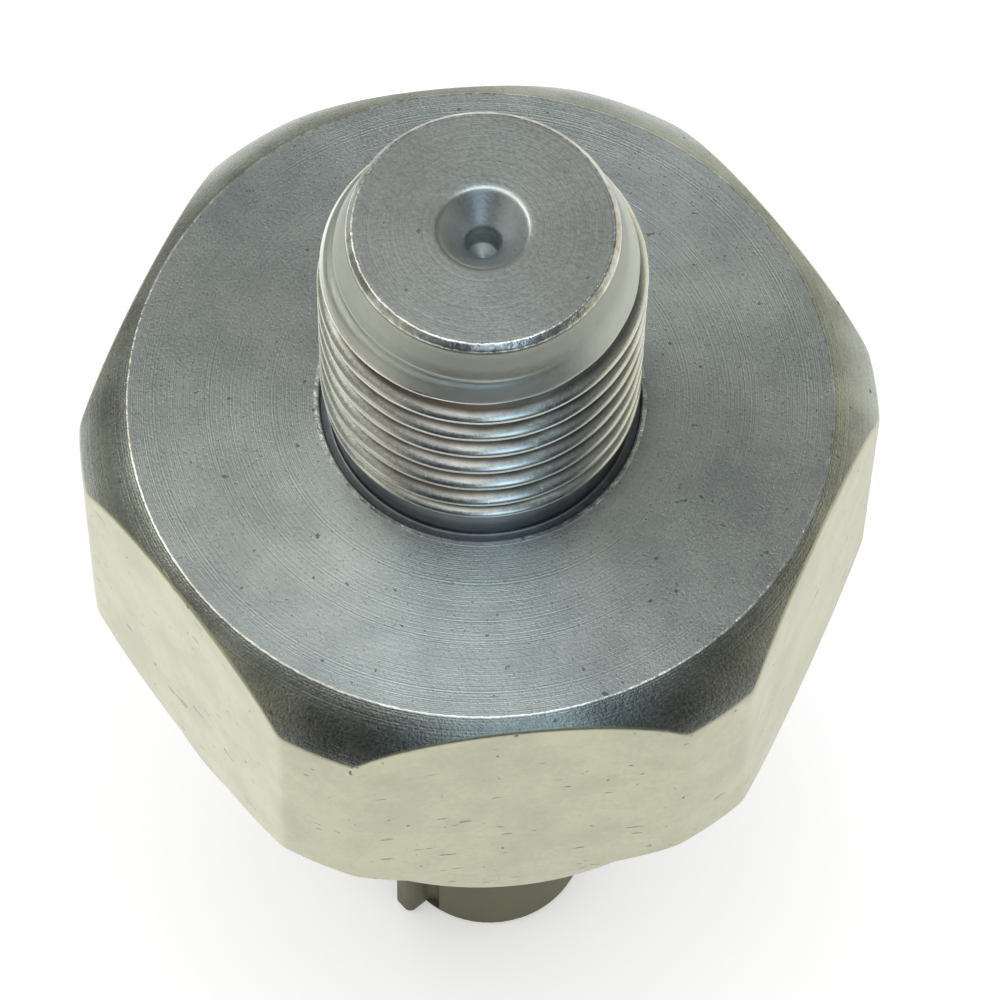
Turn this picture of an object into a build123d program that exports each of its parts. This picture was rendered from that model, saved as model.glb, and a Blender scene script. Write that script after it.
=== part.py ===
from build123d import *
from math import asin, cos, degrees, radians, sin
import os

# One-wire engine knock sensor that screws in by its stud.
# Millimetres, +Z along the stud. The sensor stands on the rim of its connector tower,
# and the origin is on the stud's axis, level with that rim.

# Height of the seating face above the tower's rim
seating_height = 40.0

# Stud. Its thread is cut as ring grooves of the true pitch and depth, without the helix.
thread_diameter = 11.76
thread_pitch = 1.25
thread_depth = 0.74
crest_width = 0.16
first_root_height = 2.1
stud_length = 12.5
shank_relief = 0.33
shank_length = 1.35
end_bevel_width = 0.3
end_bevel_height = 0.3
point_taper = 0.3
point_length = 1.1
lead_in_width = 0.78
lead_in_height = 1.5
face_groove_width = 0.36
face_groove_depth = 0.15

# Centre drilling in the end of the stud: a square cone, a pilot and its tip
drill_mouth_diameter = 3.2
drill_pilot_diameter = 1.2
drill_pilot_length = 1.0
drill_tip_height = 0.35

# Cup for the stack, and the collar below it that is rolled over the connector's flange
cup_diameter = 21.2
cup_depth = 9.7
seat_ledge = 1.6
collar_wall = 1.0
collar_height = 2.5
crimp_thickness = 0.95
crimp_reach = 1.3
crimp_inner_radius = 0.5

# Hexagon round the cup, 27 mm across its flats. Its corners are turned to a cylinder
# and both its rims to a convex arc.
hexagon_height = 13.3
collar_inset = 0.3
corner_height = 1.3
upper_rim_width = 1.85
rim_arc_radius = 5.1
rim_arc_angle = 32.5

# Centre post. Its thread isn't cut.
post_diameter = 6.0
post_spare_length = 0.45
post_chamfer = 0.4

# Sensing stack, from the floor of the cup outwards
plate_thickness = 0.3
plate_clearance = 0.8
piezo_thickness = 2.5
piezo_setback = 0.2
insulator_thickness = 0.4
insulator_clearance = 0.4
mass_thickness = 3.6
mass_clearance = 0.6
mass_chamfer = 0.3
spring_width = 2.6
spring_height = 0.75
spring_thickness = 0.45
thrust_washer_thickness = 0.5
thrust_washer_width = 2.45
nut_height = 2.2
nut_wall = 2.0
nut_corner_chamfer = 0.5
sleeve_wall = 0.55
sleeve_clearance = 0.05
bore_clearance = 0.1
thread_clearance = 0.03

# Tabs of the contact plates
tab_width = 2.6
tab_clearance = 1.5
tab_bend_radius = 0.3
tab_spare_length = 0.7
ground_tab_angle = 60.0
resistor_tab_angle = 120.0
strip_tab_angle = 270.0

# Resistor between two of the tabs, and its leads
resistor_diameter = 1.7
resistor_length = 3.6
resistor_edge_radius = 0.3
resistor_clearance = 0.2
lead_diameter = 0.5
lead_entry = 0.3
lead_joint_diameter = 1.5
strip_joint_diameter = 1.0

# Strip from the third tab to the terminal
strip_width = 1.6
strip_thickness = 0.25
strip_lap = 1.6
strip_overrun = 1.0
strip_clearance = 0.5
strip_bend_radius = 0.4

# Terminal
terminal_diameter = 1.8
terminal_setback = 5.4
terminal_tip_chamfer = 0.4
terminal_collar_diameter = 3.0
terminal_collar_height = 1.0

# Connector moulding
flange_thickness = 3.8
flange_clearance = 0.1
flange_edge_radius = 0.6
recess_clearance = 0.5
neck_clearance = 0.2
neck_height = 1.75
shoulder_height = 3.6
shoulder_foot = 2.3
shoulder_radius = 2.0
tower_root_radius = 1.2
tower_diameter = 8.0
tower_offset = 0.7
tower_edge_radius = 0.3
tower_wall = 0.9
socket_depth = 13.0
socket_edge_radius = 0.25
key_rib_width = 1.0
key_rib_height = 0.9
key_rib_length = 15.0
key_rib_angle = -145.0
key_rib_edge_radius = 0.3
key_groove_diameter = 0.7
lock_ramp_width = 3.0
lock_ramp_height = 0.9
lock_ramp_length = 3.0
lock_ramp_setback = 7.0
lock_ramp_angle = 90.0
wall_overlap = 0.5

# Seal between flange and collar
seal_section = 1.4
seal_clearance = 0.02
seal_groove_width = 1.9


# Radii of the stud, and of the housing from the cup outwards
thread_radius = thread_diameter / 2
shank_radius = thread_radius - shank_relief
face_groove_radius = shank_radius + face_groove_width
thread_root_radius = thread_radius - thread_depth
lead_in_radius = thread_radius - lead_in_width
point_radius = lead_in_radius - point_taper
stud_end_radius = point_radius - end_bevel_width
cup_radius = cup_diameter / 2
collar_bore_radius = cup_radius + seat_ledge
crimp_opening_radius = collar_bore_radius - crimp_reach
collar_radius = collar_bore_radius + collar_wall
flat_radius = collar_radius + collar_inset
corner_radius = flat_radius + corner_height
seating_face_radius = corner_radius - upper_rim_width

# Radii of the stack, from the post and from the cup
post_radius = post_diameter / 2
free_bore_radius = post_radius + sleeve_clearance
sleeve_radius = free_bore_radius + sleeve_wall
stack_bore_radius = sleeve_radius + bore_clearance
tab_reach = cup_radius - tab_clearance
tab_inner_face = tab_reach - plate_thickness
plate_radius = tab_inner_face - plate_clearance
piezo_radius = plate_radius - piezo_setback
insulator_radius = tab_inner_face - insulator_clearance
mass_radius = tab_inner_face - mass_clearance
spring_radius = stack_bore_radius + spring_width
thrust_washer_radius = free_bore_radius + thrust_washer_width
nut_flat_radius = post_radius + nut_wall

# Radii of the connector
flange_radius = collar_bore_radius - flange_clearance
neck_radius = crimp_opening_radius - neck_clearance
recess_radius = tab_reach + recess_clearance
tower_radius = tower_diameter / 2
shoulder_end_radius = tower_radius + shoulder_foot
socket_radius = tower_radius - tower_wall
terminal_radius = terminal_diameter / 2
lead_radius = lead_diameter / 2

# Levels of the stud, from its end down to the shank
stud_end_level = seating_height + stud_length
bevel_level = stud_end_level - end_bevel_height
point_end_level = bevel_level - point_length
lead_in_level = point_end_level - lead_in_height
thread_start_level = seating_height + shank_length
first_root_level = seating_height + first_root_height
groove_count = round((lead_in_level - first_root_level) / thread_pitch) + 1

# Levels, from the seating face down to the tower's root
hexagon_end_level = seating_height - hexagon_height
lip_level = hexagon_end_level - collar_height
flange_end_level = lip_level + crimp_thickness
seat_level = flange_end_level + flange_thickness
cup_floor_level = hexagon_end_level + cup_depth

piezo_level = cup_floor_level - plate_thickness
signal_plate_level = piezo_level - piezo_thickness
insulator_level = signal_plate_level - plate_thickness
mass_level = insulator_level - insulator_thickness
spring_level = mass_level - mass_thickness
thrust_washer_level = spring_level - spring_height
nut_level = thrust_washer_level - thrust_washer_thickness
nut_end_level = nut_level - nut_height
post_end_level = nut_end_level - post_spare_length

resistor_level = nut_end_level - resistor_clearance - resistor_diameter / 2
tab_end_level = resistor_level - tab_spare_length
resistor_half_angle = radians(resistor_tab_angle - ground_tab_angle) / 2
resistor_middle_angle = (resistor_tab_angle + ground_tab_angle) / 2
resistor_reach = tab_inner_face * cos(resistor_half_angle)
lead_span = tab_inner_face * sin(resistor_half_angle)

strip_level = post_end_level - strip_clearance
terminal_top_level = strip_level - strip_thickness
recess_roof_level = terminal_top_level - terminal_collar_height
neck_end_level = flange_end_level - neck_height
tower_root_level = neck_end_level - shoulder_height
seal_level = seat_level - flange_thickness / 2
seal_groove_radius = collar_bore_radius - seal_section - 2 * seal_clearance


def upright_plane(angle, origin=(0, 0, 0)):
    # vertical plane through the origin: x runs outwards at the angle, y runs up
    a = radians(angle)
    return Plane(origin=origin, x_dir=(cos(a), sin(a), 0), z_dir=(sin(a), -cos(a), 0))


def tab_face(angle):
    # plane of the inner face of the tab at the angle, its normal outwards
    outwards = Vector(cos(radians(angle)), sin(radians(angle)), 0)
    return Plane(origin=outwards * tab_inner_face, z_dir=outwards)


def rim_arc(start_radius, level, side):
    # centre, start and sweep of the arc from a flat face out to the corner cylinder
    lean = radians(rim_arc_angle)
    centre_radius = start_radius - rim_arc_radius * sin(lean)
    centre_level = level - side * rim_arc_radius * cos(lean)
    end_lean = degrees(asin((corner_radius - centre_radius) / rim_arc_radius))
    return (centre_radius, centre_level), side * (90 - rim_arc_angle), side * (rim_arc_angle - end_lean)


# Housing: stud, hexagon, cup, post and rolled collar in one piece of steel
with BuildPart() as housing:
    with BuildSketch(Plane.XY.offset(seating_height)):
        RegularPolygon(radius=flat_radius, side_count=6, major_radius=False)
    extrude(amount=-hexagon_height)
    with BuildSketch(Plane.XZ):
        with BuildLine():
            upper_arc = rim_arc(seating_face_radius, seating_height, 1)
            lower_arc = rim_arc(collar_radius, hexagon_end_level, -1)
            upper = CenterArc(upper_arc[0], rim_arc_radius, upper_arc[1], upper_arc[2])
            lower = CenterArc(lower_arc[0], rim_arc_radius, lower_arc[1], lower_arc[2])
            Line(upper @ 1, lower @ 1)
            Polyline(lower @ 0, (0, hexagon_end_level), (0, seating_height), upper @ 0)
        make_face()
    revolve(axis=Axis.Z, mode=Mode.INTERSECT)

    # fine ring groove where the stud meets the seating face
    with BuildSketch(Plane.XY.offset(seating_height)):
        Circle(face_groove_radius)
    extrude(amount=-face_groove_depth, mode=Mode.SUBTRACT)

    # stud with its runout, lead-in, turned-down point, end bevel and centre drilling
    with BuildSketch(Plane.XZ):
        with BuildLine():
            groove_level = seating_height - face_groove_depth
            cone_height = (drill_mouth_diameter - drill_pilot_diameter) / 2
            pilot_end_level = stud_end_level - cone_height - drill_pilot_length
            Polyline(
                (0, groove_level),
                (shank_radius, groove_level),
                (shank_radius, thread_start_level),
                (thread_radius, thread_start_level + shank_relief),
                (thread_radius, lead_in_level),
                (lead_in_radius, point_end_level),
                (point_radius, bevel_level),
                (stud_end_radius, stud_end_level),
                (drill_mouth_diameter / 2, stud_end_level),
                (drill_pilot_diameter / 2, stud_end_level - cone_height),
                (drill_pilot_diameter / 2, pilot_end_level),
                (0, pilot_end_level - drill_tip_height),
                close=True,
            )
        make_face()
    revolve(axis=Axis.Z)

    # grooves of the thread, their flanks carried on a little past the crests
    flank_width = (thread_pitch - crest_width) / 2
    cut_depth = 1.1 * thread_depth
    cut_width = 1.1 * flank_width
    for turn in range(groove_count):
        root_level = first_root_level + turn * thread_pitch
        with BuildSketch(Plane.XZ):
            with BuildLine():
                Polyline(
                    (thread_root_radius, root_level),
                    (thread_root_radius + cut_depth, root_level + cut_width),
                    (thread_root_radius + cut_depth, root_level - cut_width),
                    close=True,
                )
            make_face()
        revolve(axis=Axis.Z, mode=Mode.SUBTRACT)

    # cup, and the wider bore that seats the flange
    with BuildSketch(Plane.XY.offset(cup_floor_level)):
        Circle(cup_radius)
    extrude(amount=seat_level - cup_floor_level, mode=Mode.SUBTRACT)
    with BuildSketch(Plane.XY.offset(seat_level)):
        Circle(collar_bore_radius)
    extrude(amount=hexagon_end_level - seat_level, mode=Mode.SUBTRACT)

    # collar, rolled inwards over the flange's edge
    with BuildSketch(Plane.XZ):
        with BuildLine():
            roll_radius = crimp_inner_radius + crimp_thickness
            roll_level = lip_level + roll_radius
            bore_roll_level = flange_end_level + crimp_inner_radius
            outer_corner = (collar_radius - roll_radius, lip_level)
            inner_corner = (collar_bore_radius - crimp_inner_radius, flange_end_level)
            Polyline(
                (collar_bore_radius, bore_roll_level),
                (collar_bore_radius, hexagon_end_level),
                (collar_radius, hexagon_end_level),
                (collar_radius, roll_level),
            )
            RadiusArc((collar_radius, roll_level), outer_corner, roll_radius)
            Polyline(
                outer_corner,
                (crimp_opening_radius, lip_level),
                (crimp_opening_radius, flange_end_level),
                inner_corner,
            )
            RadiusArc(inner_corner, (collar_bore_radius, bore_roll_level), -crimp_inner_radius)
        make_face()
    revolve(axis=Axis.Z)

    # post that carries the stack
    with BuildSketch(Plane.XY.offset(cup_floor_level)):
        Circle(post_radius)
    post = extrude(amount=post_end_level - cup_floor_level)
    chamfer(housing.edges().filter_by(GeomType.CIRCLE).filter_by_position(
        Axis.Z, post_end_level, post_end_level).sort_by(SortBy.RADIUS)[0], post_chamfer)
housing.part.label = "housing"


def ring(level, thickness, outer_radius, inner_radius):
    # flat ring from a level downwards
    with BuildPart() as made:
        with BuildSketch(Plane.XY.offset(level)):
            Circle(outer_radius)
            Circle(inner_radius, mode=Mode.SUBTRACT)
        extrude(amount=-thickness)
    return made


def contact_plate(level, tab_angles):
    # ring with tabs that bend down past the outside of the stack
    with BuildPart() as made:
        with BuildSketch(Plane.XY.offset(level)):
            Circle(plate_radius)
            Circle(stack_bore_radius, mode=Mode.SUBTRACT)
        extrude(amount=-plate_thickness)
        for angle in tab_angles:
            root = plate_radius - tab_width / 2
            under = level - plate_thickness
            with BuildSketch(upright_plane(angle)):
                with BuildLine():
                    outside = [(root, level), (tab_reach, level), (tab_reach, tab_end_level)]
                    inside = [(tab_inner_face, tab_end_level), (tab_inner_face, under), (root, under)]
                    FilletPolyline(*outside, radius=tab_bend_radius + plate_thickness)
                    Line(outside[2], inside[0])
                    FilletPolyline(*inside, radius=tab_bend_radius)
                    Line(inside[2], outside[0])
                make_face()
            extrude(amount=tab_width / 2, both=True)
    return made


# Sensing stack
ground_plate = contact_plate(cup_floor_level, [ground_tab_angle])
ground_plate.part.label = "ground_plate"

piezo_ring = ring(piezo_level, piezo_thickness, piezo_radius, stack_bore_radius)
piezo_ring.part.label = "piezo_ring"

signal_plate = contact_plate(signal_plate_level, [resistor_tab_angle, strip_tab_angle])
signal_plate.part.label = "signal_plate"

insulating_washer = ring(insulator_level, insulator_thickness, insulator_radius, stack_bore_radius)
insulating_washer.part.label = "insulating_washer"

with BuildPart() as seismic_mass:
    with BuildSketch(Plane.XY.offset(mass_level)):
        Circle(mass_radius)
        Circle(stack_bore_radius, mode=Mode.SUBTRACT)
    extrude(amount=-mass_thickness)
    chamfer(seismic_mass.edges().filter_by(GeomType.CIRCLE), mass_chamfer)
seismic_mass.part.label = "seismic_mass"

insulating_sleeve = ring(cup_floor_level, cup_floor_level - spring_level, sleeve_radius, free_bore_radius)
insulating_sleeve.part.label = "insulating_sleeve"

# conical spring washer: its wide rim bears on the mass and its bore on the thrust washer
with BuildPart() as disc_spring:
    with BuildSketch(Plane.XZ):
        with BuildLine():
            rim_end_level = spring_level - spring_thickness
            bore_start_level = thrust_washer_level + spring_thickness
            Polyline(
                (spring_radius, spring_level),
                (spring_radius, rim_end_level),
                (stack_bore_radius, thrust_washer_level),
                (stack_bore_radius, bore_start_level),
                close=True,
            )
        make_face()
    revolve(axis=Axis.Z)
disc_spring.part.label = "disc_spring"

thrust_washer = ring(thrust_washer_level, thrust_washer_thickness, thrust_washer_radius, free_bore_radius)
thrust_washer.part.label = "thrust_washer"

with BuildPart() as clamp_nut:
    with BuildSketch(Plane.XY.offset(nut_level)):
        RegularPolygon(radius=nut_flat_radius, side_count=6, major_radius=False)
    extrude(amount=-nut_height)
    # corners turned off at both faces
    with BuildSketch(Plane.XZ):
        with BuildLine():
            corner_reach = nut_flat_radius / cos(radians(30))
            face_reach = corner_reach - nut_corner_chamfer
            slope_height = nut_corner_chamfer / 2
            Polyline(
                (0, nut_level),
                (face_reach, nut_level),
                (corner_reach, nut_level - slope_height),
                (corner_reach, nut_end_level + slope_height),
                (face_reach, nut_end_level),
                (0, nut_end_level),
                close=True,
            )
        make_face()
    revolve(axis=Axis.Z, mode=Mode.INTERSECT)
    with BuildSketch(Plane.XY.offset(nut_level)):
        Circle(post_radius + thread_clearance)
    extrude(amount=-nut_height, mode=Mode.SUBTRACT)
clamp_nut.part.label = "clamp_nut"

# Resistor on the chord between its two tabs
resistor_centre = (
    resistor_reach * cos(radians(resistor_middle_angle)),
    resistor_reach * sin(radians(resistor_middle_angle)),
    resistor_level,
)
chord_direction = (-sin(radians(resistor_middle_angle)), cos(radians(resistor_middle_angle)), 0)
chord_plane = Plane(origin=resistor_centre, z_dir=chord_direction)

with BuildPart() as shunt_resistor:
    with BuildSketch(chord_plane):
        Circle(resistor_diameter / 2)
    extrude(amount=resistor_length / 2, both=True)
    fillet(shunt_resistor.edges().filter_by(GeomType.CIRCLE), resistor_edge_radius)
    with BuildSketch(chord_plane):
        Circle(lead_radius)
    extrude(amount=resistor_length / 2, both=True, mode=Mode.SUBTRACT)
    with BuildSketch(chord_plane):
        Circle(lead_radius)
    extrude(amount=resistor_length / 2 - lead_entry, both=True)
shunt_resistor.part.label = "shunt_resistor"

with BuildPart() as resistor_leads:
    with BuildSketch(chord_plane):
        Circle(lead_radius)
    extrude(amount=lead_span + lead_diameter, both=True)
    with BuildSketch(chord_plane):
        Circle(lead_diameter)
    extrude(amount=resistor_length / 2 - lead_entry, both=True, mode=Mode.SUBTRACT)
    # each lead ends on the inner face of its tab
    for angle in (ground_tab_angle, resistor_tab_angle):
        split(bisect_by=tab_face(angle), keep=Keep.BOTTOM)
resistor_leads.part.label = "resistor_leads"

# Strip that laps the inside of its tab and bends in under the post to the terminal
strip_centre = tab_inner_face - strip_thickness / 2
strip_start_level = strip_level + strip_lap
strip_shelf_level = strip_level - strip_thickness / 2
strip_plane = upright_plane(strip_tab_angle, origin=(tower_offset / 2, 0, 0))

with BuildPart() as signal_strip:
    with BuildLine(strip_plane):
        FilletPolyline(
            (strip_centre, strip_start_level),
            (strip_centre, strip_shelf_level),
            (-strip_overrun, strip_shelf_level),
            radius=strip_bend_radius,
        )
    with BuildSketch(Plane(origin=strip_plane.from_local_coords((strip_centre, strip_start_level, 0)),
                           x_dir=strip_plane.x_dir, z_dir=(0, 0, -1))):
        Rectangle(strip_thickness, strip_width)
    sweep()
signal_strip.part.label = "signal_strip"

# Terminal: collar on the roof of the recess, round pin down the middle of the socket
terminal_tip_level = terminal_setback
with BuildPart() as terminal_pin:
    with BuildSketch(Plane.XY.offset(terminal_top_level)):
        with Locations((tower_offset, 0)):
            Circle(terminal_collar_diameter / 2)
    extrude(amount=-terminal_collar_height)
    with BuildSketch(Plane.XY.offset(recess_roof_level)):
        with Locations((tower_offset, 0)):
            Circle(terminal_radius)
    extrude(amount=terminal_tip_level - recess_roof_level)
    chamfer(terminal_pin.edges().filter_by(GeomType.CIRCLE).group_by(Axis.Z)[0], terminal_tip_chamfer)
terminal_pin.part.label = "terminal_pin"

# Connector moulding
with BuildPart() as connector_body:
    with BuildSketch(Plane.XY.offset(seat_level)):
        Circle(flange_radius)
    extrude(amount=-flange_thickness)
    fillet(connector_body.edges().group_by(Axis.Z)[0], flange_edge_radius)
    with BuildSketch(Plane.XZ):
        with BuildLine():
            Polyline(
                (0, flange_end_level),
                (neck_radius, flange_end_level),
                (neck_radius, neck_end_level),
                (shoulder_end_radius, tower_root_level),
                (0, tower_root_level),
                close=True,
            )
        make_face()
    revolve(axis=Axis.Z)
    fillet(connector_body.edges().filter_by(GeomType.CIRCLE).filter_by_position(
        Axis.Z, neck_end_level, neck_end_level), shoulder_radius)

    # tower, set off the stud's axis, with a filleted root
    with BuildSketch(Plane.XY.offset(tower_root_level)):
        with Locations((tower_offset, 0)):
            Circle(tower_radius)
    extrude(amount=-tower_root_level)
    fillet(connector_body.edges().filter_by(GeomType.CIRCLE).filter_by_position(
        Axis.Z, tower_root_level, tower_root_level).sort_by(SortBy.RADIUS)[0], tower_root_radius)
    fillet(connector_body.edges().group_by(Axis.Z)[0], tower_edge_radius)

    # key rib, rounded at its edges, from the rim upwards, with a relief groove along each side of its foot
    with BuildSketch(Plane.XY.offset(tower_edge_radius)):
        with Locations((tower_offset, 0)):
            with Locations(Rotation(0, 0, key_rib_angle)):
                rib_reach = tower_radius + key_rib_height
                with Locations((rib_reach / 2, 0)):
                    RectangleRounded(rib_reach, key_rib_width, key_rib_edge_radius)
    extrude(amount=key_rib_length)
    with BuildSketch(Plane.XY.offset(tower_edge_radius)):
        with Locations((tower_offset, 0)):
            with Locations(Rotation(0, 0, key_rib_angle)):
                foot_offset = (key_rib_width + key_groove_diameter) / 2
                with Locations((tower_radius, foot_offset), (tower_radius, -foot_offset)):
                    Circle(key_groove_diameter / 2)
    extrude(amount=key_rib_length, mode=Mode.SUBTRACT)

    # lock ramp on the far side, sloping out towards the shoulder
    with BuildSketch(upright_plane(lock_ramp_angle, origin=(tower_offset, 0, 0))):
        with BuildLine():
            ramp_root = tower_radius - wall_overlap
            ramp_reach = tower_radius + lock_ramp_height
            ramp_end = lock_ramp_setback + lock_ramp_length
            Polyline(
                (ramp_root, lock_ramp_setback),
                (tower_radius, lock_ramp_setback),
                (ramp_reach, ramp_end - lock_ramp_height / 2),
                (ramp_reach, ramp_end),
                (ramp_root, ramp_end),
                close=True,
            )
        make_face()
    extrude(amount=lock_ramp_width / 2, both=True)

    # socket
    with BuildSketch(Plane.XY):
        with Locations((tower_offset, 0)):
            Circle(socket_radius)
    extrude(amount=socket_depth, mode=Mode.SUBTRACT)
    fillet(connector_body.edges().filter_by(GeomType.CIRCLE).filter_by_position(
        Axis.Z, 0, 0).sort_by(SortBy.RADIUS)[0], socket_edge_radius)

    # recess over the end of the stack
    with BuildSketch(Plane.XY.offset(seat_level)):
        Circle(recess_radius)
    extrude(amount=recess_roof_level - seat_level, mode=Mode.SUBTRACT)

    # groove for the seal
    with BuildSketch(Plane.XY.offset(seal_level)):
        Circle(collar_bore_radius)
        Circle(seal_groove_radius, mode=Mode.SUBTRACT)
    extrude(amount=seal_groove_width / 2, both=True, mode=Mode.SUBTRACT)

    # the terminal is moulded in
    with BuildSketch(Plane.XY.offset(recess_roof_level)):
        with Locations((tower_offset, 0)):
            Circle(terminal_radius)
    extrude(amount=socket_depth - recess_roof_level, mode=Mode.SUBTRACT)
connector_body.part.label = "connector_body"

with BuildPart() as flange_seal:
    with BuildSketch(Plane.XZ):
        with Locations((collar_bore_radius - seal_clearance - seal_section / 2, seal_level)):
            Circle(seal_section / 2)
    revolve(axis=Axis.Z)
flange_seal.part.label = "flange_seal"

# Solder: domes on the tabs and on the terminal's collar, round the lead and strip ends
with BuildPart() as solder_joints:
    with Locations(strip_plane.from_local_coords((-strip_overrun, terminal_top_level, 0))):
        Sphere(strip_joint_diameter / 2)
    split(bisect_by=Plane.XY.offset(terminal_top_level), keep=Keep.TOP)
    with Locations(strip_plane.from_local_coords((tab_inner_face, strip_start_level, 0))):
        Sphere(strip_joint_diameter / 2)
    for angle in (ground_tab_angle, resistor_tab_angle):
        with Locations(tab_face(angle).origin + Vector(0, 0, resistor_level)):
            Sphere(lead_joint_diameter / 2)
    for angle in (ground_tab_angle, resistor_tab_angle, strip_tab_angle):
        split(bisect_by=tab_face(angle), keep=Keep.BOTTOM)
    add(resistor_leads.part, mode=Mode.SUBTRACT)
    add(signal_strip.part, mode=Mode.SUBTRACT)
solder_joints.part.label = "solder_joints"


pieces = [
    housing,
    ground_plate,
    piezo_ring,
    signal_plate,
    insulating_washer,
    seismic_mass,
    insulating_sleeve,
    disc_spring,
    thrust_washer,
    clamp_nut,
    shunt_resistor,
    resistor_leads,
    signal_strip,
    terminal_pin,
    connector_body,
    flange_seal,
    solder_joints,
]

os.makedirs("parts", exist_ok=True)
for piece in pieces:
    export_step(piece.part, f"parts/{piece.part.label}.step")
    print(f"{piece.part.label}: {len(piece.part.solids())} solids, {piece.part.volume:.1f} mm3")
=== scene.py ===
import bpy
import numpy as np
from mathutils import Matrix, Vector


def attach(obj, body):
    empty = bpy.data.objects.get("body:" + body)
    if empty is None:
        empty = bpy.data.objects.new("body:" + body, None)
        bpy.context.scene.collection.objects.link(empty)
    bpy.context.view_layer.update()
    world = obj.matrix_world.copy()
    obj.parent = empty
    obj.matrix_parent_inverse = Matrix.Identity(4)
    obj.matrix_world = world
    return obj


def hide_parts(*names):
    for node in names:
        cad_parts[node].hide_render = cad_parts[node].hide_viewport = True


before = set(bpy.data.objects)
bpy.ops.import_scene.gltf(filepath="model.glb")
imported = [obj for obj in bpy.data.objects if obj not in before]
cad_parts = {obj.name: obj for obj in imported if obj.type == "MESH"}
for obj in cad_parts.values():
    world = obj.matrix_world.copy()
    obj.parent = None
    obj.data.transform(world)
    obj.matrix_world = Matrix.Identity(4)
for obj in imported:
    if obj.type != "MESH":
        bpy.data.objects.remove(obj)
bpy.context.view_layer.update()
print("knock sensor: solids loaded")

mm = 0.001   # everything below is thought of in millimetres and built in metres

# Camera
cameraSetting = {
    "place": (-13.094, -103.576, 235.520),   # mm
    "right": (0.99371, -0.11138, 0.01120),
    "up": (0.09407, 0.88508, 0.45584),
    "lens": 217.71,                          # mm, for a picture 36 mm wide
}


def placeCamera(setting):
    # the picture's right and up directions give the turn, and backwards is right x up
    right = Vector(setting["right"]).normalized()
    back = right.cross(Vector(setting["up"])).normalized()
    up = back.cross(right)
    turn = Matrix((right, up, back)).transposed().to_4x4()
    data = bpy.data.cameras.new("photoCamera")
    data.sensor_fit = "HORIZONTAL"
    data.sensor_width = 36
    data.lens = setting["lens"]
    data.clip_start = 0.01
    data.clip_end = 20
    camera = bpy.data.objects.new("photoCamera", data)
    camera.matrix_world = Matrix.Translation(Vector(setting["place"]) * mm) @ turn
    bpy.context.scene.collection.objects.link(camera)
    bpy.context.scene.camera = camera


placeCamera(cameraSetting)
print("knock sensor: camera placed")


# Shader helpers
class Wire:
    # a node's output that can be added, multiplied and so on with numbers or other wires
    def __init__(self, recipe, socket):
        self.recipe = recipe
        self.socket = socket

    def maths(self, operation, first, second=0.0):
        return self.recipe.node("ShaderNodeMath", {"operation": operation}, {0: first, 1: second})

    def __add__(self, other):
        return self.maths("ADD", self, other)

    def __radd__(self, other):
        return self.maths("ADD", other, self)

    def __sub__(self, other):
        return self.maths("SUBTRACT", self, other)

    def __rsub__(self, other):
        return self.maths("SUBTRACT", other, self)

    def __mul__(self, other):
        return self.maths("MULTIPLY", self, other)

    def __rmul__(self, other):
        return self.maths("MULTIPLY", other, self)

    def __truediv__(self, other):
        return self.maths("DIVIDE", self, other)

    def __rtruediv__(self, other):
        return self.maths("DIVIDE", other, self)

    def __pow__(self, other):
        return self.maths("POWER", self, other)

    def __rpow__(self, other):
        return self.maths("POWER", other, self)


class Recipe:
    # one material's or the world's node tree
    def __init__(self, owner):
        owner.use_nodes = True
        self.owner = owner
        self.tree = owner.node_tree
        self.tree.nodes.clear()

    def node(self, kind, settings=None, values=None, output=0):
        made = self.tree.nodes.new(kind)
        for key, value in (settings or {}).items():
            setattr(made, key, value)
        for key, value in (values or {}).items():
            if isinstance(value, Wire):
                self.tree.links.new(value.socket, made.inputs[key])
            else:
                made.inputs[key].default_value = value
        if len(made.outputs) == 0:
            return None
        return Wire(self, made.outputs[output])

    def place(self):
        return self.node("ShaderNodeTexCoord", output="Object")

    def parts(self, vector):
        split = self.node("ShaderNodeSeparateXYZ", values={0: vector})
        return [Wire(self, socket) for socket in split.socket.node.outputs]

    def stretch(self, vector, factors):
        return self.node("ShaderNodeVectorMath", {"operation": "MULTIPLY"}, {0: vector, 1: factors})

    def noise(self, vector, scale, detail=2.0, roughness=0.5):
        return self.node("ShaderNodeTexNoise", {"noise_dimensions": "3D"},
                         {"Vector": vector, "Scale": scale, "Detail": detail, "Roughness": roughness})

    def noiseAlong(self, distance, scale, detail=2.0, roughness=0.5):
        return self.node("ShaderNodeTexNoise", {"noise_dimensions": "1D"},
                         {"W": distance, "Scale": scale, "Detail": detail, "Roughness": roughness})

    def fade(self, value, low, high):
        # 0 below low, 1 above high, smooth between
        return self.node("ShaderNodeMapRange", {"interpolation_type": "SMOOTHSTEP"},
                         {"Value": value, "From Min": low, "From Max": high})

    def blend(self, share, first, second):
        return self.node("ShaderNodeMix", {"data_type": "RGBA"}, {0: share, 6: first, 7: second}, output=2)

    def bump(self, height, distance, below=None):
        values = {"Height": height, "Distance": distance, "Strength": 1.0}
        if below is not None:
            values["Normal"] = below
        return self.node("ShaderNodeBump", values=values)

    def finish(self, values):
        shader = self.node("ShaderNodeBsdfPrincipled", values=values)
        self.node("ShaderNodeOutputMaterial", values={"Surface": shader})
        return self.owner


def rgb(red, green, blue):
    return (red, green, blue, 1.0)


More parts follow.
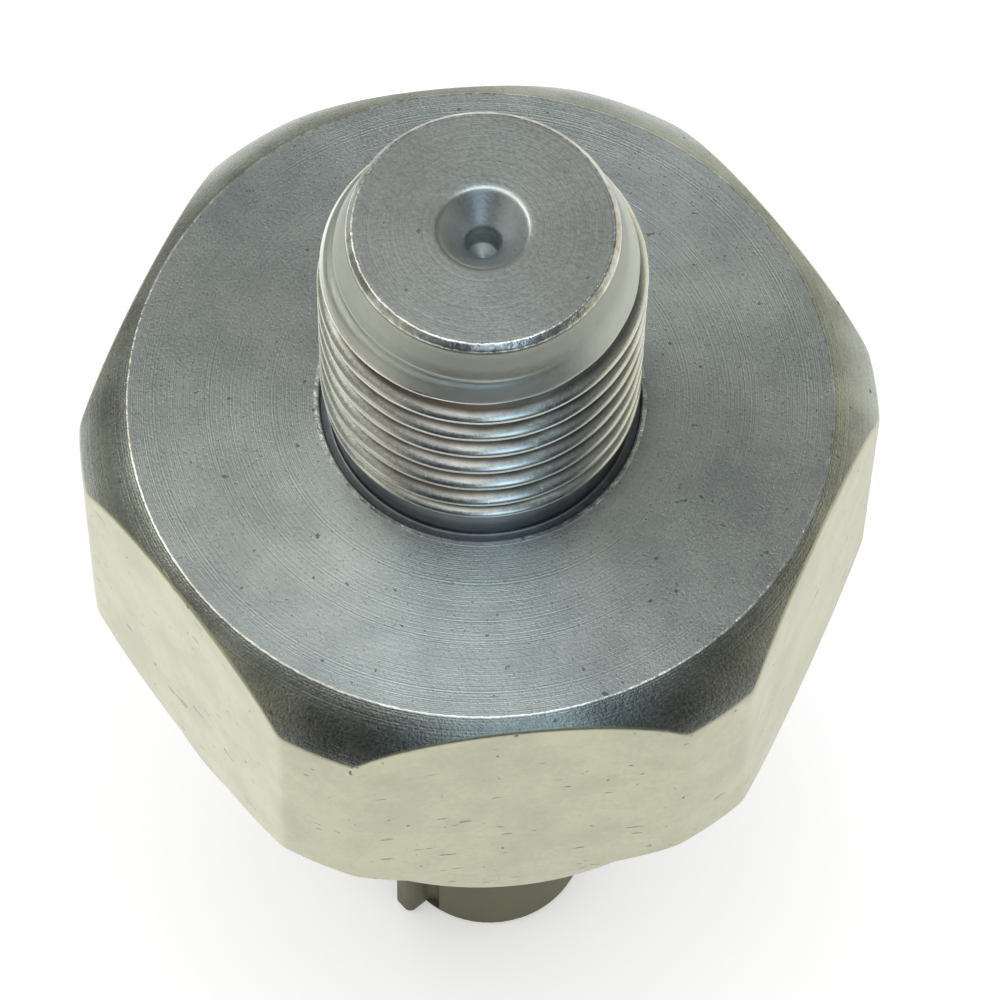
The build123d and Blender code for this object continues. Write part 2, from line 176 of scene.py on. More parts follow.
# Steel of the housing
turnedFace = {
    "colour": rgb(0.62, 0.66, 0.65), "shade": rgb(0.46, 0.50, 0.50), "roughness": 0.31,
    "ringPitch": 0.06, "ringSlope": 0.13, "grainPitch": 0.09, "grainSlope": 0.095,
    "pitPitch": 0.35, "pitShare": 0.70, "drawnOut": 0.5,
}
endFace = {
    "colour": rgb(0.62, 0.655, 0.645), "shade": rgb(0.50, 0.53, 0.52), "roughness": 0.33,
    "ringPitch": 0.12, "ringSlope": 0.03, "grainPitch": 0.16, "grainSlope": 0.035,
    "pitPitch": 0.35, "pitShare": 0.71, "drawnOut": 0.15,
}
drilled = {
    "colour": rgb(0.52, 0.57, 0.57), "shade": rgb(0.40, 0.43, 0.44), "roughness": 0.44,
    "ringPitch": 0.34, "ringSlope": 0.09, "grainPitch": 0.14, "grainSlope": 0.08,
    "pitPitch": 0.4, "pitShare": 0.72, "drawnOut": 0.4,
}
# painted highlight: the end bevel, the groove's lip and the face's outer edge take a near-white copy of the
# steel, on top of the light these edges catch, broken up by the tone
paintedHighlightEdge = {
    "colour": rgb(0.97, 0.98, 0.96), "shade": rgb(0.50, 0.49, 0.45), "roughness": 0.30,
    "ringPitch": 0.0, "ringSlope": 0.0, "grainPitch": 0.35, "grainSlope": 0.13,
    "pitPitch": 0.6, "pitShare": 0.80,
}
pointSteel = {
    "colour": rgb(0.47, 0.49, 0.42), "shade": rgb(0.42, 0.44, 0.38), "roughness": 0.44,
    "ringPitch": 0.0, "ringSlope": 0.0, "grainPitch": 0.3, "grainSlope": 0.03,
    "pitPitch": 0.8, "pitShare": 0.80,
    "leadInColour": rgb(0.64, 0.67, 0.62), "leadInTop": (50.6, 51.4),   # mm
}
threadSteel = {
    "colour": rgb(0.92, 0.93, 0.87), "shade": rgb(0.78, 0.79, 0.73), "roughness": 0.23,
    "ringPitch": 0.0, "ringSlope": 0.0, "grainPitch": 0.14, "grainSlope": 0.02,
    # the thread's roots between these radii darken with grime and painted shade, gone above the levels of the
    # second pair
    "pitPitch": 0.8, "pitShare": 0.80, "rootShadeAndGrime": (5.48, 5.78), "rootShadeAndGrimeTop": (49.3, 49.9),   # mm
}
# painted shade: the shank under the thread takes a dark copy of the steel for the shade it stands in
shadedShankSteel = {
    "colour": rgb(0.24, 0.26, 0.28), "shade": rgb(0.17, 0.18, 0.20), "roughness": 0.34,
    "ringPitch": 0.2, "ringSlope": 0.04, "grainPitch": 0.2, "grainSlope": 0.05,
    "pitPitch": 0.8, "pitShare": 0.80,
}
rimArc = {
    "colour": rgb(0.49, 0.51, 0.46), "shade": rgb(0.28, 0.295, 0.27), "roughness": 0.27,
    "ringPitch": 0.12, "ringSlope": 0.08, "grainPitch": 0.11, "grainSlope": 0.16,
    "pitPitch": 0.35, "pitShare": 0.70,
}
platedFlat = {
    "colour": rgb(0.62, 0.61, 0.45), "shade": rgb(0.515, 0.51, 0.385), "roughness": 0.34,
    "ringPitch": 0.0, "ringSlope": 0.0, "grainPitch": 0.30, "grainSlope": 0.035,
    "pitPitch": 0.35, "pitShare": 0.72, "dents": 0.712,
}
cupSteel = {
    "colour": rgb(0.42, 0.44, 0.46), "shade": rgb(0.27, 0.28, 0.30), "roughness": 0.35,
    "ringPitch": 0.2, "ringSlope": 0.06, "grainPitch": 0.2, "grainSlope": 0.08,
    "pitPitch": 0.9, "pitShare": 0.75,
}
housingLooks = {
    "turnedFace": turnedFace, "paintedHighlightEdge": paintedHighlightEdge, "threadSteel": threadSteel, "rimArc": rimArc,
    "platedFlat": platedFlat, "cupSteel": cupSteel, "endFace": endFace, "pointSteel": pointSteel,
    "drilled": drilled, "shadedShankSteel": shadedShankSteel,
}
marks = {
    # spots, grime with painted shade in the thread roots, and scratches that the steels share
    "pit": rgb(0.10, 0.11, 0.11), "rootShadeAndGrime": rgb(0.095, 0.080, 0.062), "scratch": rgb(0.20, 0.19, 0.14),
    "strength": 0.7, "pitSoft": 0.05,
    "cloudPitch": 2.6, "toneSpan": (0.36, 0.62),      # mm, and the noise from shade to colour
    "scratchPitch": 0.55, "scratchDepth": 0.03,       # mm
    "scratchStretch": (0.4, 0.4, 2.0), "scratchSoft": 0.03,
    "scratchLevels": (34, 27), "scratchGain": 0.03,   # mm, and how many more of them low down
}


def steel(name, look):
    # turned steel: grooves along the radius, a fine grain all over, and small dark pits
    recipe = Recipe(bpy.data.materials.new(name))
    place = recipe.place()
    x, y, z = recipe.parts(place)
    radius = (x * x + y * y) ** 0.5
    grain = recipe.noise(place, 1 / (look["grainPitch"] * mm), 3.0, 0.6)
    cloud = recipe.noise(place, 1 / (marks["cloudPitch"] * mm), 4.0, 0.6)
    height = recipe.bump(grain, look["grainSlope"] * look["grainPitch"] * mm)
    tone = recipe.fade(cloud * 0.6 + grain * 0.4, *marks["toneSpan"])
    if look["ringPitch"]:
        along = radius - z          # runs along a face and down a wall alike
        rings = recipe.noiseAlong(along, 1 / (look["ringPitch"] * mm), 2.0, 0.7)
        height = recipe.bump(rings, look["ringSlope"] * look["ringPitch"] * mm, height)
        tone = recipe.fade(cloud * 0.5 + grain * 0.25 + rings * 0.25, *marks["toneSpan"])
    pits = recipe.fade(recipe.noise(place, 1 / (look["pitPitch"] * mm), 2.0, 0.5),
                       look["pitShare"], look["pitShare"] + marks["pitSoft"])
    colour = recipe.blend(tone, look["shade"], look["colour"])
    colour = recipe.blend(pits * marks["strength"], colour, marks["pit"])
    # grime and painted shade: the thread's roots are darker than the crests, fading out towards the point
    if "rootShadeAndGrime" in look:
        low, high = look["rootShadeAndGrime"]
        outsideRoots = recipe.fade(radius + (cloud - 0.5) * 0.2 * mm, low * mm, high * mm)
        low, high = look["rootShadeAndGrimeTop"]
        rootShadeAndDirt = (1 - outsideRoots) * (1 - recipe.fade(z, low * mm, high * mm))
        colour = recipe.blend(rootShadeAndDirt, colour, marks["rootShadeAndGrime"])
    if "leadInTop" in look:
        low, high = look["leadInTop"]
        colour = recipe.blend(recipe.fade(z, low * mm, high * mm), look["leadInColour"], colour)
    if "dents" in look:
        # short level scratches, most of them near the bottom of the flats
        stretched = recipe.stretch(place, marks["scratchStretch"])
        drawn = recipe.noise(stretched, 1 / (marks["scratchPitch"] * mm), 2.0, 0.5)
        high, low = marks["scratchLevels"]
        drawn = drawn + recipe.fade(z, high * mm, low * mm) * marks["scratchGain"]
        dent = recipe.fade(drawn, look["dents"], look["dents"] + marks["scratchSoft"])
        colour = recipe.blend(dent * marks["strength"], colour, marks["scratch"])
        height = recipe.bump(1 - dent, marks["scratchDepth"] * mm, height)
    rough = look["roughness"] + (grain - 0.5) * 0.2 + pits * 0.2
    values = {"Base Color": colour, "Metallic": 1.0, "Roughness": rough, "Normal": height}
    if "drawnOut" in look:
        values["Anisotropic"] = look["drawnOut"]   # gloss drawn out across the turning rings
        values["Anisotropic Rotation"] = 0.25
    return recipe.finish(values)


# Housing surface
housing = {
    # mm, levels above the connector's rim
    "seat": 40.0,
    "endLevel": 52.5, "endRadius": 4.62, "bevelRadius": 4.8, "bevelLevel": 52.32,
    "tipRadius": 0.04, "tipDepth": 2.33, "drillRadius": 0.6, "drillDepth": 2.0,
    "coneDepth": 1.0, "coneRadius": 1.6,
    "pointRadius": 5.1, "pointEnd": 51.1, "leadInLevel": 49.6, "threadRadius": 5.88,
    "runoutLevel": 41.68, "threadEnd": 41.35, "shankRadius": 5.55,
    "threadStep": 0.068, "pointLevel": 50.05,   # the point's finish is above this level
    "grooveRadius": 5.91, "grooveDepth": 0.15,
    "faceRadius": 12.95, "flatRadius": 13.5, "cornerRadius": 14.8, "cornerBlend": 0.10, "hexBottom": 26.7,
    "arcRadius": 5.1, "arcLean": 32.5,          # radius of the convex rims, and degrees at their start
    "edgeRound": 0.14, "highlightWidth": 0.05,
    "collarRadius": 13.2, "lipLevel": 24.2, "rollRadius": 1.45, "lipOpening": 10.9, "lipFlat": 11.6,
    "lipThickness": 0.95, "boreRadius": 12.2, "seatLevel": 28.95, "cupRadius": 10.6,
    "cupFloor": 36.4, "postRadius": 3.0, "postEnd": 25.4, "postChamfer": 0.4,
}
thread = {
    "pitch": 1.25, "depth": 0.74, "rootLevel": 42.1, "rootAngle": -97.2,   # mm, and degrees
    "fadeBottom": (41.5, 42.2), "fadeTop": (50.6, 51.9),      # mm, where the cut runs out
    "crest": 0.10, "flank": 0.82, "straight": 0.45,           # shape of the cut over half a pitch
}


def smoothShare(value, low, high):
    # 0 below low, 1 above high, and 3t^2 - 2t^3 between
    t = np.clip((value - low) / (high - low), 0, 1)
    return t * t * (3 - 2 * t)


def softMin(first, second, blend):
    # the smaller of two, rounded over where they are closer than blend
    h = np.clip(0.5 + 0.5 * (second - first) / blend, 0, 1)
    return second * (1 - h) + first * h - blend * h * (1 - h)


def columnAngles():
    # six sectors with the columns crowded where a flat meets a corner, 24.2 degrees off its middle
    half = np.array([0, 2, 4, 6, 8, 10, 12, 14, 16, 18, 20,
                     21.5, 22.7, 23.4, 23.9, 24.4, 24.9, 25.6, 26.8, 28.4])
    sector = np.concatenate([-half[:0:-1], half, [30]])
    return np.radians((np.arange(6)[:, None] * 60 - 90 + sector[None, :]).ravel())


def hexRadius(angles):
    # distance of a flat along the angle, r = flat / cos(angle off its middle), cut to the corner cylinder
    off = (angles + np.pi / 2 + np.pi / 6) % (np.pi / 3) - np.pi / 6
    flat = housing["flatRadius"] / np.cos(off)
    return softMin(flat, np.full_like(off, housing["cornerRadius"]), housing["cornerBlend"])


def threadSurface(angles, levels):
    # radius = crest less depth times a rounded triangle of (level / pitch - angle / turn), faded at both ends
    cut = thread
    turned = (angles - np.radians(cut["rootAngle"])) / (2 * np.pi)
    turns = (levels - cut["rootLevel"]) / cut["pitch"] - turned
    groove = np.abs(2 * (turns - np.floor(turns)) - 1)
    share = np.clip((groove - cut["crest"]) / cut["flank"], 0, 1)
    share = cut["straight"] * share + (1 - cut["straight"]) * share * share * (3 - 2 * share)
    fade = smoothShare(levels, *cut["fadeBottom"]) * (1 - smoothShare(levels, *cut["fadeTop"]))
    return housing["threadRadius"] - cut["depth"] * share * fade


def bend(start, corner, end, t):
    # a curve that leaves both ends along their legs to the corner: (1-t)^2 a + 2t(1-t) b + t^2 c
    return (1 - t) ** 2 * start + 2 * t * (1 - t) * corner + t ** 2 * end


def path(points, spacing):
    # straight runs through (radius, level) points, cut into steps of about the spacing
    rows = []
    for (r0, z0), (r1, z1) in zip(points[:-1], points[1:]):
        count = max(1, int(np.ceil(np.hypot(r1 - r0, z1 - z0) / spacing)))
        t = np.arange(count) / count
        rows.append(np.stack([r0 + (r1 - r0) * t, z0 + (z1 - z0) * t], 1))
    rows.append(np.array([points[-1]], float))
    return np.concatenate(rows)


def roundedPath(points, radii, spacing):
    # the same, with each inner corner replaced by a curve that leaves its legs at the given distance
    points = [np.array(p, float) for p in points]
    out = [points[0][None, :]]
    for before, corner, after, reach in zip(points[:-2], points[1:-1], points[2:], radii):
        start = corner + (before - corner) / np.linalg.norm(before - corner) * reach
        end = corner + (after - corner) / np.linalg.norm(after - corner) * reach
        t = np.linspace(0, 1, 6)[:, None]
        out.append(bend(start, corner, end, t))
    out.append(points[-1][None, :])
    knots = np.concatenate(out)
    keep = np.r_[True, np.linalg.norm(np.diff(knots, axis=0), axis=1) > 1e-6]
    return path([tuple(p) for p in knots[keep]], spacing)


def housingRows(angles):
    # the profile from the turning centre in the stud's end down the outside and back up to the post's end;
    # rows of (radius, level) for every column, with a finish for each row
    h = housing
    columns = len(angles)
    radii, levels, finishes = [], [], []

    def add(rows, finish):
        radii.append(np.repeat(rows[:, :1], columns, 1))
        levels.append(np.repeat(rows[:, 1:], columns, 1))
        finishes.extend([finish] * len(rows))

    def addShaped(radius, level, finish):
        radii.append(radius)
        levels.append(level)
        finishes.extend([finish] * len(radius))

    # turning centre and the stud's end face
    end, seat = h["endLevel"], h["seat"]
    centre = roundedPath([(h["tipRadius"], end - h["tipDepth"]), (h["drillRadius"], end - h["drillDepth"]),
                          (h["drillRadius"], end - h["coneDepth"]), (h["coneRadius"], end),
                          (h["coneRadius"] + 0.6, end)], [0.1, 0.16, 0.14], 0.16)
    inCone = centre[:, 0] < h["coneRadius"]
    add(centre[inCone], "drilled")
    add(centre[~inCone], "endFace")
    add(path([(2.5, end), (h["endRadius"] - 0.06, end)], 0.5), "endFace")
    add(roundedPath([(h["endRadius"] - 0.05, end), (h["endRadius"], end), (h["bevelRadius"], h["bevelLevel"]),
                     (h["bevelRadius"] + 0.03, h["bevelLevel"] - 0.11)], [0.05, 0.06], 0.05), "paintedHighlightEdge")

    # turned blank of point, lead-in, thread and runout, cut by the helix wherever that is smaller
    z = np.arange(h["bevelLevel"] - 0.14, h["threadEnd"] + 0.02, -h["threadStep"])
    blankLevels = [h["threadEnd"], h["runoutLevel"], h["leadInLevel"], h["pointEnd"], h["bevelLevel"]]
    blankRadii = [h["shankRadius"], h["threadRadius"], h["threadRadius"], h["pointRadius"], h["bevelRadius"]]
    blank = np.interp(z, blankLevels, blankRadii)
    blank = np.convolve(np.pad(blank, 4, "edge"), np.full(9, 1 / 9), "valid")   # soft corners, as rolled
    helix = threadSurface(angles[None, :], z[:, None])
    cut = softMin(helix, blank[:, None], 0.06)
    column = np.repeat(z[:, None], columns, 1)
    onPoint = z > h["pointLevel"]
    addShaped(cut[onPoint], column[onPoint], "pointSteel")
    addShaped(cut[~onPoint], column[~onPoint], "threadSteel")

    # shank, and the fine groove where it meets the face
    add(roundedPath([(h["shankRadius"], h["threadEnd"] - 0.05), (h["shankRadius"], seat - h["grooveDepth"]),
                     (h["grooveRadius"] - 0.02, seat - h["grooveDepth"]), (h["grooveRadius"], seat - 0.03)],
                    [0.12, 0.05], 0.16), "shadedShankSteel")
    add(roundedPath([(h["grooveRadius"] + 0.01, seat - 0.02), (h["grooveRadius"] + 0.05, seat),
                     (h["grooveRadius"] + 0.2, seat)], [0.02], 0.1), "paintedHighlightEdge")
    add(path([(6.3, seat), (h["faceRadius"] - 0.04, seat)], 0.7), "turnedFace")

    # the rims and flats follow each column: an arc to where it meets the flat, then straight down
    lean = np.radians(h["arcLean"])
    side = hexRadius(angles)

    def arcPoint(start, level, sign, angle):
        # a point of the circle that passes through (start, level) with the lean given
        centreRadius = start - h["arcRadius"] * np.sin(lean)
        centreLevel = level - sign * h["arcRadius"] * np.cos(lean)
        return (centreRadius + h["arcRadius"] * np.sin(angle),
                centreLevel + sign * h["arcRadius"] * np.cos(angle))

    def arcEnd(start):
        centreRadius = start - h["arcRadius"] * np.sin(lean)
        return np.arcsin((side - centreRadius) / h["arcRadius"])

    def steps(count):
        return np.linspace(0, 1, count)[1:, None]

    edgeRound = h["edgeRound"]
    roundAngle = edgeRound / h["arcRadius"]
    # painted highlight: near-white steel on the narrow edge between face and arc
    t = np.linspace(0, 1, 6)[:, None]
    arcBegin = lean + h["highlightWidth"] / h["arcRadius"]
    edgeEnd = arcPoint(h["faceRadius"], seat, 1, arcBegin)
    add(np.concatenate([bend(h["faceRadius"] - 0.03, h["faceRadius"], edgeEnd[0], t),
                        bend(seat, seat, edgeEnd[1], t)], 1), "paintedHighlightEdge")
    # upper arc
    topEnd = arcEnd(h["faceRadius"])
    angle = arcBegin + (topEnd[None, :] - roundAngle - arcBegin) * steps(22)
    addShaped(*arcPoint(h["faceRadius"], seat, 1, angle), "rimArc")
    # rounded edge onto the flat
    topRadius, topLevel = arcPoint(h["faceRadius"], seat, 1, topEnd)
    fromRadius, fromLevel = arcPoint(h["faceRadius"], seat, 1, topEnd - roundAngle)
    t = steps(5)
    addShaped(bend(fromRadius, topRadius, side, t),
              bend(fromLevel, topLevel, topLevel - edgeRound, t), "platedFlat")
    # flat, then the lower arc to the collar
    lowEnd = arcEnd(h["collarRadius"])
    lowRadius, lowLevel = arcPoint(h["collarRadius"], h["hexBottom"], -1, lowEnd)
    t = steps(12)
    addShaped(np.repeat(side[None, :], len(t), 0),
              (topLevel - edgeRound) * (1 - t) + (lowLevel + edgeRound) * t, "platedFlat")
    toRadius, toLevel = arcPoint(h["collarRadius"], h["hexBottom"], -1, lowEnd - roundAngle)
    t = steps(5)
    addShaped(bend(side, lowRadius, toRadius, t),
              bend(lowLevel + edgeRound, lowLevel, toLevel, t), "platedFlat")
    t = steps(10)
    angle = (lowEnd[None, :] - roundAngle) * (1 - t) + (lean + 0.02) * t
    addShaped(*arcPoint(h["collarRadius"], h["hexBottom"], -1, angle), "rimArc")

    # collar rolled over the flange, the bore behind it, the cup and the post
    roll = h["rollRadius"]
    collar, lip, lipTop = h["collarRadius"], h["lipLevel"], h["lipLevel"] + h["lipThickness"]
    t = np.radians(np.linspace(0, 90, 12))
    add(path([(collar, h["hexBottom"] - 0.06), (collar, lip + roll + 0.08)], 0.3), "platedFlat")
    add(np.stack([collar - roll + roll * np.cos(t), lip + roll - roll * np.sin(t)], 1), "platedFlat")
    add(roundedPath([(h["lipFlat"], lip), (h["lipOpening"], lip), (h["lipOpening"], lipTop),
                     (h["lipOpening"] + 0.5, lipTop)], [0.12, 0.12], 0.25), "platedFlat")
    inner = [(h["lipOpening"] + 0.8, lipTop), (h["boreRadius"], lipTop + 0.5),
             (h["boreRadius"], h["seatLevel"]), (h["cupRadius"], h["seatLevel"]),
             (h["cupRadius"], h["cupFloor"]), (h["postRadius"], h["cupFloor"]),
             (h["postRadius"], h["postEnd"] + h["postChamfer"]),
             (h["postRadius"] - h["postChamfer"], h["postEnd"]), (0.5, h["postEnd"])]
    add(roundedPath(inner, [0.02] * 7, 3.0), "cupSteel")
    return np.concatenate(radii), np.concatenate(levels), finishes


def closedSkin(name, radii, levels, angles, finishes, materials):
    # rows of rings closed round the axis, with one point on the axis above the first and below the last;
    # each ring of faces takes the finish of its lower row, by the material's name
    rows, columns = radii.shape
    ring = np.stack([radii * np.cos(angles), radii * np.sin(angles), levels], 2).reshape(-1, 3)
    top = [[0, 0, levels[0, 0]]]
    bottom = [[0, 0, levels[-1, 0]]]
    points = np.concatenate([ring, top, bottom]) * mm
    i, j = np.meshgrid(np.arange(rows - 1), np.arange(columns), indexing="ij")
    k = (j + 1) % columns
    upper, lower = i * columns, (i + 1) * columns
    quads = np.stack([upper + j, lower + j, lower + k, upper + k], 2).reshape(-1, 4)
    j = np.arange(columns)
    k = (j + 1) % columns
    last = (rows - 1) * columns
    caps = np.concatenate([np.stack([np.full(columns, rows * columns), j, k], 1),
                           np.stack([last + j, np.full(columns, rows * columns + 1), last + k], 1)])
    loops = np.concatenate([quads.ravel(), caps.ravel()]).astype(np.int32)
    starts = np.concatenate([np.arange(len(quads)) * 4, len(quads) * 4 + np.arange(len(caps)) * 3])
    order = {material.name: number for number, material in enumerate(materials)}
    numbers = np.array([order[finish] for finish in finishes])
    picks = np.concatenate([np.repeat(numbers[1:], columns),
                            np.full(columns, numbers[0]), np.full(columns, numbers[-1])]).astype(np.int32)
    mesh = bpy.data.meshes.new(name)
    mesh.vertices.add(len(points))
    mesh.vertices.foreach_set("co", points.ravel())
    mesh.loops.add(len(loops))
    mesh.loops.foreach_set("vertex_index", loops)
    mesh.polygons.add(len(starts))
    mesh.polygons.foreach_set("loop_start", starts.astype(np.int32))
    for material in materials:
        mesh.materials.append(material)
    mesh.polygons.foreach_set("material_index", picks)
    mesh.update(calc_edges=True)
    mesh.validate()
    mesh.shade_smooth()
    made = bpy.data.objects.new(name, mesh)
    bpy.context.scene.collection.objects.link(made)
    return made


angles = columnAngles()
housingMaterials = [steel(name, look) for name, look in housingLooks.items()]
radii, levels, finishes = housingRows(angles)
housingSkin = closedSkin("steel_housing", radii, levels, angles, finishes, housingMaterials)
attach(housingSkin, "root")
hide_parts("housing")
print("knock sensor: housing", radii.shape, "rows and columns")


# Plain finishes of the other pieces
plasticLooks = {
    # colour, shade, roughness, then the grain's pitch in mm and its slope
    "connectorPlastic": (rgb(0.121, 0.116, 0.060), rgb(0.104, 0.100, 0.051), 0.50, 0.25, 0.04),
    "firedCeramic": (rgb(0.66, 0.62, 0.50), rgb(0.56, 0.52, 0.42), 0.62, 0.10, 0.10),
    "amberFilm": (rgb(0.55, 0.27, 0.05), rgb(0.42, 0.19, 0.03), 0.22, 0.40, 0.01),
    "lacquer": (rgb(0.32, 0.42, 0.50), rgb(0.27, 0.36, 0.43), 0.25, 0.30, 0.02),
    "sealRubber": (rgb(0.030, 0.030, 0.030), rgb(0.022, 0.022, 0.022), 0.65, 0.15, 0.06),
}
metalLooks = {
    # colour, shade, roughness, then the turning rings' pitch in mm and their slope
    "contactBrass": (rgb(0.83, 0.66, 0.36), rgb(0.66, 0.49, 0.24), 0.28, 0.12, 0.08),
    "plainSteel": (rgb(0.62, 0.62, 0.60), rgb(0.42, 0.42, 0.41), 0.32, 0.18, 0.08),
    "springSteel": (rgb(0.30, 0.29, 0.30), rgb(0.17, 0.17, 0.19), 0.30, 0.12, 0.08),
    "tinnedWire": (rgb(0.80, 0.80, 0.80), rgb(0.62, 0.62, 0.63), 0.22, 0.12, 0.08),
}
cloudPitch = {"plastic": 3.0, "metal": 1.5}   # mm, of the slow changes from shade to colour


def plastic(name, colour, shade, roughness, pitch, slope):
    # two tones in slow clouds, with a fine grain in the surface and the gloss
    recipe = Recipe(bpy.data.materials.new(name))
    place = recipe.place()
    grain = recipe.noise(place, 1 / (pitch * mm), 3.0, 0.6)
    cloud = recipe.noise(place, 1 / (cloudPitch["plastic"] * mm), 3.0, 0.5)
    height = recipe.bump(grain, slope * pitch * mm)
    tone = recipe.fade(cloud, 0.35, 0.65)
    return recipe.finish({"Base Color": recipe.blend(tone, shade, colour),
                          "Roughness": roughness + (grain - 0.5) * 0.15, "Normal": height})


def metal(name, colour, shade, roughness, pitch, slope):
    # two tones in slow clouds and in rings round the axis, with the rings in the surface too
    recipe = Recipe(bpy.data.materials.new(name))
    place = recipe.place()
    x, y, z = recipe.parts(place)
    rings = recipe.noiseAlong((x * x + y * y) ** 0.5 - z, 1 / (pitch * mm), 2.0, 0.6)
    cloud = recipe.noise(place, 1 / (cloudPitch["metal"] * mm), 4.0, 0.6)
    height = recipe.bump(rings, slope * pitch * mm)
    tone = recipe.fade(cloud * 0.6 + rings * 0.4, 0.36, 0.64)
    return recipe.finish({"Base Color": recipe.blend(tone, shade, colour), "Metallic": 1.0,
                          "Roughness": roughness + (cloud - 0.5) * 0.2, "Normal": height})


plainFinish = {name: plastic(name, *look) for name, look in plasticLooks.items()}
plainFinish.update({name: metal(name, *look) for name, look in metalLooks.items()})
nodeFinish = {
    "connector_body": "connectorPlastic",
    "ground_plate": "contactBrass", "signal_plate": "contactBrass", "signal_strip": "contactBrass",
    "terminal_pin": "contactBrass",
    "piezo_ring": "firedCeramic",
    "insulating_sleeve": "amberFilm", "insulating_washer": "amberFilm",
    "seismic_mass": "plainSteel", "thrust_washer": "plainSteel", "clamp_nut": "plainSteel",
    "disc_spring": "springSteel",
    "shunt_resistor": "lacquer",
    "resistor_leads": "tinnedWire", "solder_joints": "tinnedWire",
    "flange_seal": "sealRubber",
}
for nodeName, finishName in nodeFinish.items():
    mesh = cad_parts[nodeName].data
    mesh.materials.clear()
    mesh.materials.append(plainFinish[finishName])
print("knock sensor: finishes given")


# Floor, light and world
studio = {
    "floorRadius": 600.0, "floorLevel": -0.02, "floorPoints": 96,   # mm
    "floorGlow": 0.305, "floorColour": rgb(0.93, 0.93, 0.92),
    # in the metal's mirror image the floor is darker: in front, on the right, and far off
    "nearDim": 0.19, "rightDim": 0.13, "farShare": 0.85, "farShareRight": 0.5,
    "farDim": (60.0, 140.0),    # mm
    "backTurn": (0.55, 0.90),   # from the sides' colour to the back's
    "dark": rgb(0.022, 0.024, 0.026), "far": rgb(0.27, 0.27, 0.20), "farBack": rgb(0.40, 0.41, 0.34),
    # pale walls with a grey ceiling over them, by the height of the direction
    "wall": rgb(0.74, 0.72, 0.57), "ceiling": rgb(0.235, 0.24, 0.225), "ceilingRight": rgb(0.155, 0.16, 0.15),
    "wallTop": -0.05, "wallTopRight": 0.42, "wallTopLeftFront": 0.50, "wallSoft": (-0.20, 0.12),
    "frontTurn": (0.30, 0.80), "rightTurn": (-0.3, 0.3), "leftFrontTurn": (0.0, 0.35),
    # the dark side behind the camera, with a tall window in it
    "ceilingBehind": rgb(0.160, 0.190, 0.220), "behindRise": (0.42, 0.92),
    "slitColour": rgb(1.04, 1.38, 1.70), "slitHigh": rgb(0.25, 0.36, 0.46), "slitLow": rgb(0.16, 0.20, 0.215),
    "slitPlace": 0.07, "slitWidth": (0.11, 0.26), "slitRise": (0.25, 0.58), "slitFall": (0.62, 0.84),
    "slitNarrowing": (0.15, 0.60),
    # a white card high on the left, and what matte surfaces see
    "cardColour": rgb(2.1, 2.1, 1.9), "cardPlace": (-0.60, 0.34, 0.724), "cardWidth": (0.93, 0.985),
    "soft": rgb(0.70, 0.70, 0.70),
}
lamps = {
    # place and size in mm, power in watts
    "overhead": {"place": (-90, -70, 600), "size": (560, 560), "power": 0.87, "colour": (1.0, 0.97, 0.92)},
    "window": {"place": (35, -60, 520), "size": (60, 420), "power": 0.22, "colour": (0.64, 0.87, 1.0)},
}
lampAim = (0, 0, 35)   # mm


def inFront(recipe, x, y, setting):
    # 1 towards the camera's side (-Y), 0 towards the other three; and the side to side share of the direction
    reach = (x * x + y * y + 1e-6) ** 0.5
    return recipe.fade(y * -1.0 / reach, *setting["frontTurn"]), x / reach


